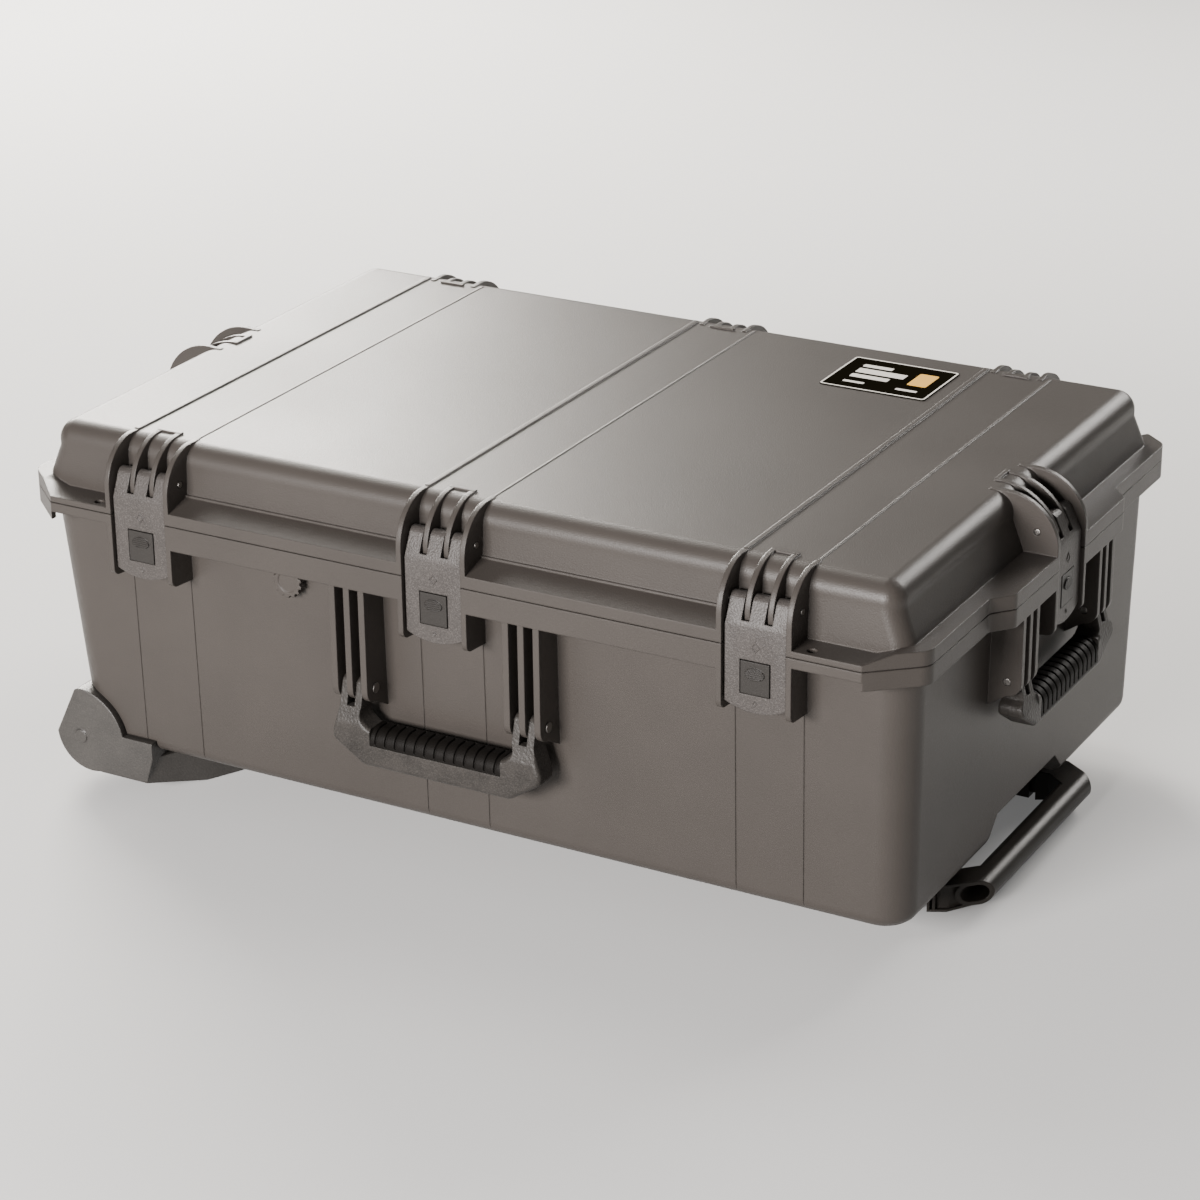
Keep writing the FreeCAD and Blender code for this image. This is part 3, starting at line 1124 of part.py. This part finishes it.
def make_guide(side):
    """Closed sleeve under the base that an arm slides in."""
    half = ARM_HALF_Y + GUIDE_CLEAR
    y0, y1 = sorted((side * (ARM_Y - half), side * (ARM_Y + half)))
    outer = box(GUIDE_X[0], GUIDE_X[1], y0 - GUIDE_WALL, y1 + GUIDE_WALL, 0.5, FLOOR_Z - 0.1)
    bore = box(GUIDE_X[0] - 1.0, GUIDE_X[1] + 1.0, y0, y1,
               ARM_Z[0] - GUIDE_CLEAR, ARM_Z[1] + GUIDE_CLEAR)
    void = box(GUIDE_X[0] - 1.0, GUIDE_X[1] + 1.0, y0, y1, ARM_Z[1] + GUIDE_CLEAR + GUIDE_WALL,
               FLOOR_Z - GUIDE_WALL)
    return outer.cut([bore, void])


def make_feet():
    """Two skid feet under the pull-handle end."""
    x0, x1 = FOOT_X
    outline = [(x0, FLOOR_Z - 0.1), (x0 + 6.0, 0.0), (x1 - 7.0, 0.0), (x1, 10.0), (x1, FLOOR_Z - 0.1)]
    front = prism_y(outline, -FOOT_SPAN[1], -FOOT_SPAN[0])
    return [front, mirror_y(front)]


def make_screws():
    """Screws that hold the guides, the feet and the wheel housings, from inside the base."""
    inside = FLOOR_Z + FLOOR_THICKNESS
    spots = [(x, side * ARM_Y) for x in GUIDE_SCREW_X for side in (-1, 1)]
    foot_x = (FOOT_X[0] + FOOT_X[1]) / 2.0
    foot_y = (FOOT_SPAN[0] + FOOT_SPAN[1]) / 2.0
    spots += [(foot_x, side * foot_y) for side in (-1, 1)]
    screws = []
    for x, y in spots:
        depth = FLOOR_Z - (2.9 if abs(y) < FOOT_SPAN[0] else 14.0)
        shank = cylinder(SCREW_R, (x, y, depth), (x, y, inside + 0.05))
        head = cylinder(SCREW_HEAD_R, (x, y, inside + 0.05), (x, y, inside + 2.6))
        screws.append(fuse([shank, head]))
    return spots, screws


def rivet(side, radius, z0, z1):
    """Round bar on the axis of one of the two rivets through the grip and the arms."""
    x = GRIP_ROOT_X + 4.5
    return cylinder(radius, (x, side * ARM_Y, z0), (x, side * ARM_Y, z1))


# ---- label plate ---------------------------------------------------------------------
def make_plate():
    outline = rounded_wire(PLATE_X[0], PLATE_X[1], PLATE_Y[0], PLATE_Y[1], 3.0, LID_TOP_Z + 0.02)
    return Part.Face(outline).extrude(Vector(0, 0, 0.8))


def with_screw_holes(shape, spots, z0, z1):
    return shape.cut([cylinder(SCREW_R + SNUG, (x, y, z0), (x, y, z1)) for x, y in spots])


# ---- build and write every node ------------------------------------------------------
screw_spots, screw_solids = make_screws()
guide_spots = [spot for spot in screw_spots if abs(spot[1]) < FOOT_SPAN[0]]
foot_spots = [spot for spot in screw_spots if abs(spot[1]) > FOOT_SPAN[0]]
base = with_screw_holes(make_base(), screw_spots, FLOOR_Z - 1.0, FLOOR_Z + FLOOR_THICKNESS + 1.0)
nodes = {"base_shell": base, "lid_shell": make_lid()}
nodes["lid_gasket"] = sealing_ring(SEAL_WIDTH - 0.1, LID_BOTTOM + TONGUE - PARTING_GAP + 0.1,
                                   LID_BOTTOM + SEAL_DEPTH)
nodes["label_plate"] = make_plate()
nodes["latch_pins"] = make_latch_pins()
nodes["hinge_pins"] = make_hinge_pins()
nodes.update(make_valve())

latch, button, spring = make_latch(), make_button(), make_latch_spring()
for station in LATCH_STATIONS:
    nodes["latch_" + station.name] = station.place(latch)
    nodes["button_" + station.name] = station.place(button)
    nodes["spring_" + station.name] = station.place(spring)

for station, pivot_z, drop, bar, cover in HANDLES:
    nodes["handle_" + station.name] = station.place(make_handle(pivot_z, drop, bar, cover))
    nodes["grip_" + station.name] = station.place(make_grip(pivot_z, drop, bar, cover))
    nodes["handle_pins_" + station.name] = [station.place(pin) for pin in make_handle_pins(pivot_z)]

wheel = make_wheel()
housing = make_housing()
for end, flip in (("front", False), ("back", True)):
    nodes["wheel_housing_" + end] = mirror_y(housing) if flip else housing
    for part_name, shape in wheel.items():
        solids = shape if isinstance(shape, list) else [shape]
        nodes["wheel_" + part_name + "_" + end] = [mirror_y(solid) if flip else solid for solid in solids]

rivet_holes = [rivet(side, RIVET_R + SNUG, 0.0, FLOOR_Z) for side in (-1, 1)]
nodes["pull_grip"] = make_pull_grip().cut(rivet_holes)
for end, side in (("front", -1), ("back", 1)):
    nodes["pull_arm_" + end] = make_arm(side).cut(rivet_holes)
    nodes["pull_arm_plug_" + end] = make_arm_plug(side)
    nodes["pull_guide_" + end] = with_screw_holes(make_guide(side), guide_spots, FLOOR_Z - 4.0, FLOOR_Z)
nodes["pull_rivets"] = [rivet(side, RIVET_R, GRIP_ROOT_Z + 0.4, ARM_Z[1] + 2.5) for side in (-1, 1)]
nodes["rest_feet"] = [with_screw_holes(foot, foot_spots, FLOOR_Z - 15.0, FLOOR_Z) for foot in make_feet()]
nodes["floor_screws"] = screw_solids

for name, shape in nodes.items():
    written = export(name, shape)
    print(name, len(written.Solids), written.isValid(), round(written.Volume / 1000.0, 1))
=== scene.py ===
import json
import math

import bmesh
import bpy
from mathutils import Matrix, Vector


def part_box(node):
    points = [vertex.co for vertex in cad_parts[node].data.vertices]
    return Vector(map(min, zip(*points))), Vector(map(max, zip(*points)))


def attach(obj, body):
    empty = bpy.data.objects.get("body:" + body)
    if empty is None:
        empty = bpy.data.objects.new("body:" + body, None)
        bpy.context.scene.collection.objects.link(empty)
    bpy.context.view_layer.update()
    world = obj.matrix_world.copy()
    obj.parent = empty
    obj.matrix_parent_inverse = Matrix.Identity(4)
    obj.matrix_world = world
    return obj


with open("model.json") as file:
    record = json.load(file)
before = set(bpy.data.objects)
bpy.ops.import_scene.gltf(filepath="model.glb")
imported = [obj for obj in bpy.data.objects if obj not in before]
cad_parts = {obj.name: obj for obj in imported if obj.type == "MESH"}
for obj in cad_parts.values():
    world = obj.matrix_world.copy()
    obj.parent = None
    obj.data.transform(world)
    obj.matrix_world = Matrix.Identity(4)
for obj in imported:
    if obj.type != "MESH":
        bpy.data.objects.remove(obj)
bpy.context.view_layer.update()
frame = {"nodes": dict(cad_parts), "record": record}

# edges of the resin parts, in metres
SHELL_ROUNDING = 0.0009
PART_ROUNDING = 0.0006
ROUNDING_ANGLE = math.radians(32.0)
FLAT_ANGLE = math.radians(0.6)
WELD_DISTANCE = 1e-5

# print on the name plate, in metres
BORDER_INSET = 0.0004
BORDER_WIDTH = 0.0014
BORDER_RADIUS = 0.0030
BORDER_INNER_RADIUS = 0.0018
INK_SINK = 0.00005
INK_HEIGHT = 0.00015
BAR_RADIUS = 0.0008
BLOCK_RADIUS = 0.0020
# left, right, bottom and top of each mark, as shares of the plate
BARS = (
    (0.16, 0.44, 0.72, 0.80),
    (0.16, 0.62, 0.52, 0.66),
    (0.16, 0.52, 0.36, 0.46),
    (0.16, 0.36, 0.18, 0.23),
    (0.66, 0.86, 0.18, 0.23),
)
BLOCK = (0.70, 0.88, 0.38, 0.78)

# studio
FLOOR_HALF = 12.0
FLOOR_Z = -0.0005
FLOOR_GLOW = 0.12
WORLD_STRENGTH = 0.19
CAMERA_PLACE = (1.225829, -2.192778, 1.213316)
CAMERA_AZIMUTH = math.radians(29.263)
CAMERA_ELEVATION = math.radians(23.11)
CAMERA_ROLL = math.radians(-0.632)
CAMERA_LENS = 101.85


# ---- materials -----------------------------------------------------------------------
def new_material(name):
    material = bpy.data.materials.new(name)
    material.use_nodes = True
    nodes = material.node_tree.nodes
    nodes.clear()
    out = nodes.new("ShaderNodeOutputMaterial")
    shader = nodes.new("ShaderNodeBsdfPrincipled")
    material.node_tree.links.new(shader.outputs["BSDF"], out.inputs["Surface"])
    return material, nodes, material.node_tree.links, shader


def noise(nodes, links, vector, scale, detail=2.0, rough=0.5):
    node = nodes.new("ShaderNodeTexNoise")
    node.inputs["Scale"].default_value = scale
    node.inputs["Detail"].default_value = detail
    node.inputs["Roughness"].default_value = rough
    links.new(vector, node.inputs["Vector"])
    return node.outputs["Fac"]


def ramp(nodes, links, source, low, high, start, end):
    node = nodes.new("ShaderNodeMapRange")
    node.inputs["From Min"].default_value = low
    node.inputs["From Max"].default_value = high
    node.inputs["To Min"].default_value = start
    node.inputs["To Max"].default_value = end
    links.new(source, node.inputs["Value"])
    return node.outputs["Result"]


def mix_colour(nodes, links, factor, a, b):
    node = nodes.new("ShaderNodeMix")
    node.data_type = "RGBA"
    links.new(factor, node.inputs["Factor"])
    for value, socket in ((a, node.inputs["A"]), (b, node.inputs["B"])):
        if isinstance(value, tuple):
            socket.default_value = (*value, 1.0)
        else:
            links.new(value, socket)
    return node.outputs["Result"]


def math_node(nodes, links, kind, a, b):
    node = nodes.new("ShaderNodeMath")
    node.operation = kind
    for value, socket in ((a, node.inputs[0]), (b, node.inputs[1])):
        if isinstance(value, (int, float)):
            socket.default_value = value
        else:
            links.new(value, socket)
    return node.outputs["Value"]


def edge_mask(nodes, links, rounded):
    """1 along worn edges, 0 on flats: how far the rounded normal leaves the true one."""
    geometry = nodes.new("ShaderNodeNewGeometry")
    dot = nodes.new("ShaderNodeVectorMath")
    dot.operation = "DOT_PRODUCT"
    links.new(rounded.outputs["Normal"], dot.inputs[0])
    links.new(geometry.outputs["Normal"], dot.inputs[1])
    return ramp(nodes, links, dot.outputs["Value"], 0.99, 0.80, 0.0, 1.0)


def moulded(name, colour, rough, grain=0.0004, grain_scale=900.0, mottle=0.12, mottle_scale=9.0,
            bump=0.35, wear=0.35, specular=0.5, edge=0.0011, speckle=0.0, metal=0.0):
    """Moulded resin or rubber: colour drift, fine grain, softened and scuffed edges."""
    material, nodes, links, shader = new_material(name)
    coord = nodes.new("ShaderNodeTexCoord").outputs["Object"]
    broad = noise(nodes, links, coord, mottle_scale, 4.0, 0.6)
    fine = noise(nodes, links, coord, grain_scale, 2.0, 0.5)
    rounded = nodes.new("ShaderNodeBevel")
    rounded.samples = 4
    rounded.inputs["Radius"].default_value = edge
    dark = tuple(c * (1.0 - mottle) for c in colour)
    light = tuple(c * (1.0 + mottle) for c in colour)
    base = mix_colour(nodes, links, ramp(nodes, links, broad, 0.3, 0.7, 0.0, 1.0), dark, light)
    if speckle:
        specks = noise(nodes, links, coord, 1500.0, 1.0, 0.4)
        spots = ramp(nodes, links, specks, 0.52, 0.66, 0.0, speckle)
        base = mix_colour(nodes, links, spots, base, tuple(c * 2.6 for c in colour))
    worn = tuple(min(1.0, c * 1.9 + 0.02) for c in colour)
    edges = edge_mask(nodes, links, rounded)
    scuff = noise(nodes, links, coord, 160.0, 3.0, 0.6)
    mask = math_node(nodes, links, "MULTIPLY", edges,
                     ramp(nodes, links, scuff, 0.45, 0.75, 0.0, wear))
    links.new(mix_colour(nodes, links, mask, base, worn), shader.inputs["Base Color"])
    sheen = noise(nodes, links, coord, 3.5, 3.0, 0.55)
    spread = math_node(nodes, links, "ADD",
                       ramp(nodes, links, sheen, 0.3, 0.7, rough - 0.03, rough + 0.03),
                       ramp(nodes, links, fine, 0.3, 0.7, -0.03, 0.03))
    links.new(spread, shader.inputs["Roughness"])
    relief = nodes.new("ShaderNodeBump")
    relief.inputs["Strength"].default_value = bump
    relief.inputs["Distance"].default_value = grain
    links.new(fine, relief.inputs["Height"])
    links.new(rounded.outputs["Normal"], relief.inputs["Normal"])
    links.new(relief.outputs["Normal"], shader.inputs["Normal"])
    shader.inputs["Specular IOR Level"].default_value = specular
    shader.inputs["Metallic"].default_value = metal
    return material


MATERIALS = {
    "shell_resin": moulded("shell_resin", (0.034, 0.0295, 0.0262), 0.42, mottle=0.07, edge=0.0016,
                           specular=0.24),
    "latch_resin": moulded("latch_resin", (0.032, 0.0285, 0.0265), 0.43, grain=0.0006,
                           grain_scale=700.0, bump=0.55, mottle_scale=40.0, speckle=0.5, specular=0.26),
    "button_resin": moulded("button_resin", (0.015, 0.0135, 0.0122), 0.40, bump=0.4, speckle=0.3,
                            specular=0.22),
    "handle_resin": moulded("handle_resin", (0.020, 0.018, 0.0162), 0.42, grain=0.0008,
                            grain_scale=450.0, mottle=0.28, mottle_scale=60.0, bump=0.6, speckle=0.4,
                            specular=0.2, edge=0.0016),
    "grip_rubber": moulded("grip_rubber", (0.0045, 0.0039, 0.0034), 0.50, grain_scale=1200.0, bump=0.5,
                           specular=0.06),
    "seal_rubber": moulded("seal_rubber", (0.02, 0.02, 0.02), 0.75, bump=0.5, specular=0.3),
    "membrane": moulded("membrane", (0.6, 0.6, 0.58), 0.7),
    "label": moulded("label", (0.004, 0.0035, 0.002), 0.60, grain=0.0001, bump=0.1, specular=0.0,
                     edge=0.0004, wear=0.1),
    "tyre_rubber": moulded("tyre_rubber", (0.014, 0.013, 0.012), 0.65, bump=0.6, specular=0.35),
    "hub_resin": moulded("hub_resin", (0.034, 0.031, 0.028), 0.45),
    "housing_resin": moulded("housing_resin", (0.022, 0.020, 0.018), 0.44, grain=0.0006,
                             grain_scale=600.0, mottle=0.18, mottle_scale=50.0, bump=0.5, speckle=0.3,
                             edge=0.0016),
    "pull_resin": moulded("pull_resin", (0.015, 0.013, 0.011), 0.36, edge=0.0014, specular=0.16),
    "pin_steel": moulded("pin_steel", (0.20, 0.19, 0.18), 0.38, metal=1.0, wear=0.1),
}
PALE_INK = moulded("pale_ink", (0.55, 0.53, 0.48), 0.5, mottle=0.1, grain=0.00005, bump=0.1,
                   edge=0.0002)
AMBER_INK = moulded("amber_ink", (0.62, 0.33, 0.02), 0.5, mottle=0.12, grain=0.00005, bump=0.1,
                    edge=0.0002)


# ---- rounding of the moulded edges ---------------------------------------------------
ROUNDING = {"base_shell": SHELL_ROUNDING, "lid_shell": SHELL_ROUNDING}
for part in frame["record"]["subparts"]:
    node = part["node"]
    obj = frame["nodes"][node]
    obj.data.materials.clear()
    obj.data.materials.append(MATERIALS[part["material_slot"]])
    obj.data.shade_smooth()
    weld = obj.modifiers.new("Weld", "WELD")
    weld.merge_threshold = WELD_DISTANCE
    flat = obj.modifiers.new("Flat", "DECIMATE")
    flat.decimate_type = "DISSOLVE"
    flat.angle_limit = FLAT_ANGLE
    rounding = obj.modifiers.new("Round", "BEVEL")
    rounding.width = ROUNDING.get(node, PART_ROUNDING)
    rounding.segments = 2
    rounding.limit_method = "ANGLE"
    rounding.angle_limit = ROUNDING_ANGLE
    rounding.harden_normals = False
    rounding.use_clamp_overlap = True
    rounding.miter_outer = "MITER_ARC"
    obj.modifiers.new("Normals", "WEIGHTED_NORMAL").keep_sharp = True


# ---- generic print on the name plate: a border and plain bars ------------------------------
def print_on_plate(name, outline, hole, z0, z1, material):
    """Thin printed layer: a closed outline, with or without a hole of the same point count."""
    mesh = bpy.data.meshes.new(name)
    made = bmesh.new()
    rings = []
    for points in ([outline, hole] if hole else [outline]):
        for z in (z0, z1):
            rings.append([made.verts.new((x, y, z)) for x, y in points])
    count = len(outline)
    if hole:
        pairs = ((0, 1, False), (2, 3, True), (1, 3, False), (0, 2, True))
    else:
        pairs = ((0, 1, False),)
        made.faces.new(rings[1])
        made.faces.new(list(reversed(rings[0])))
    for first, second, flip in pairs:
        for i in range(count):
            j = (i + 1) % count
            quad = [rings[first][i], rings[first][j], rings[second][j], rings[second][i]]
            made.faces.new(list(reversed(quad)) if flip else quad)
    made.to_mesh(mesh)
    made.free()
    mesh.materials.append(material)
    piece = bpy.data.objects.new(name, mesh)
    bpy.context.scene.collection.objects.link(piece)
    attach(piece, "lid")


def rounded_rectangle(x0, x1, y0, y1, radius, steps=6):
    points = []
    for cx, cy, start in ((x1 - radius, y0 + radius, -90.0), (x1 - radius, y1 - radius, 0.0),
                          (x0 + radius, y1 - radius, 90.0), (x0 + radius, y0 + radius, 180.0)):
        for i in range(steps + 1):
            angle = math.radians(start + 90.0 * i / steps)
            points.append((cx + radius * math.cos(angle), cy + radius * math.sin(angle)))
    return points


(plate_x0, plate_y0, _), (plate_x1, plate_y1, plate_top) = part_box("label_plate")
ink_z = (plate_top - INK_SINK, plate_top + INK_HEIGHT)


def inset_outline(inset, radius):
    """The plate's outline moved inwards."""
    return rounded_rectangle(plate_x0 + inset, plate_x1 - inset, plate_y0 + inset, plate_y1 - inset, radius)


def share_outline(shares, radius):
    """Rounded rectangle between the given shares of the plate's width and depth."""
    u0, u1, v0, v1 = shares
    span_x, span_y = plate_x1 - plate_x0, plate_y1 - plate_y0
    return rounded_rectangle(plate_x0 + u0 * span_x, plate_x0 + u1 * span_x,
                             plate_y0 + v0 * span_y, plate_y0 + v1 * span_y, radius)


print_on_plate("label_border", inset_outline(BORDER_INSET, BORDER_RADIUS),
               inset_outline(BORDER_INSET + BORDER_WIDTH, BORDER_INNER_RADIUS), *ink_z, PALE_INK)
for index, bar in enumerate(BARS):
    print_on_plate("label_bar_%d" % index, share_outline(bar, BAR_RADIUS), None, *ink_z, PALE_INK)
print_on_plate("label_block", share_outline(BLOCK, BLOCK_RADIUS), None, *ink_z, AMBER_INK)


# ---- floor, light and camera ---------------------------------------------------------
def plane(name, half, z):
    mesh = bpy.data.meshes.new(name)
    mesh.from_pydata([(-half, -half, z), (half, -half, z), (half, half, z), (-half, half, z)], [],
                     [(0, 1, 2, 3)])
    obj = bpy.data.objects.new(name, mesh)
    bpy.context.scene.collection.objects.link(obj)
    return obj


floor = plane("floor", FLOOR_HALF, FLOOR_Z)
material, nodes, links, shader = new_material("floor_paint")
coord = nodes.new("ShaderNodeTexCoord").outputs["Object"]
cloud = noise(nodes, links, coord, 1.5, 2.0)
links.new(mix_colour(nodes, links, cloud, (0.50, 0.50, 0.495), (0.53, 0.53, 0.525)),
          shader.inputs["Base Color"])
shader.inputs["Roughness"].default_value = 0.8
shader.inputs["Specular IOR Level"].default_value = 0.1
shader.inputs["Emission Color"].default_value = (1.0, 1.0, 1.0, 1.0)
shader.inputs["Emission Strength"].default_value = FLOOR_GLOW
floor.data.materials.append(material)

world = bpy.data.worlds.new("studio")
bpy.context.scene.world = world
world.use_nodes = True
sky = world.node_tree.nodes["Background"]
sky.inputs["Color"].default_value = (1.0, 0.99, 0.97, 1.0)
sky.inputs["Strength"].default_value = WORLD_STRENGTH


def softbox(name, place, target, size, power, colour):
    """Rectangular lamp at a place, turned towards a target."""
    data = bpy.data.lights.new(name, "AREA")
    data.shape = "RECTANGLE"
    data.size, data.size_y = size
    data.energy = power
    data.color = colour
    obj = bpy.data.objects.new(name, data)
    obj.location = place
    obj.rotation_mode = "QUATERNION"
    obj.rotation_quaternion = (Vector(target) - Vector(place)).to_track_quat("-Z", "Y")
    bpy.context.scene.collection.objects.link(obj)


softbox("back_left", (-2.56, 2.16, 1.48), (-0.3, 0.0, 0.3), (1.7, 1.2), 315.0, (1.0, 0.95, 0.88))
softbox("back_right", (0.90, 2.75, 1.70), (0.35, 0.0, 0.25), (1.4, 0.8), 95.0, (1.0, 0.96, 0.92))
softbox("key", (-0.30, -3.50, 1.20), (0.2, -0.2, 0.15), (1.6, 0.9), 430.0, (1.0, 0.96, 0.94))
softbox("ledge", (-1.70, 1.10, 2.60), (0.0, -0.2, 0.25), (1.6, 1.0), 55.0, (1.0, 0.96, 0.90))

camera_data = bpy.data.cameras.new("camera")
camera = bpy.data.objects.new("camera", camera_data)
bpy.context.scene.collection.objects.link(camera)
back = Vector((math.sin(CAMERA_AZIMUTH) * math.cos(CAMERA_ELEVATION),
               -math.cos(CAMERA_AZIMUTH) * math.cos(CAMERA_ELEVATION), math.sin(CAMERA_ELEVATION)))
right = Vector((math.cos(CAMERA_AZIMUTH), math.sin(CAMERA_AZIMUTH), 0.0))
up = back.cross(right)
tilted_right = math.cos(CAMERA_ROLL) * right + math.sin(CAMERA_ROLL) * up
tilted_up = math.cos(CAMERA_ROLL) * up - math.sin(CAMERA_ROLL) * right
turn = Matrix((tilted_right, tilted_up, back)).transposed().to_4x4()
camera.matrix_world = Matrix.Translation(CAMERA_PLACE) @ turn
camera_data.sensor_width = 36.0
camera_data.lens = CAMERA_LENS
camera_data.clip_end = 60.0
bpy.context.scene.camera = camera
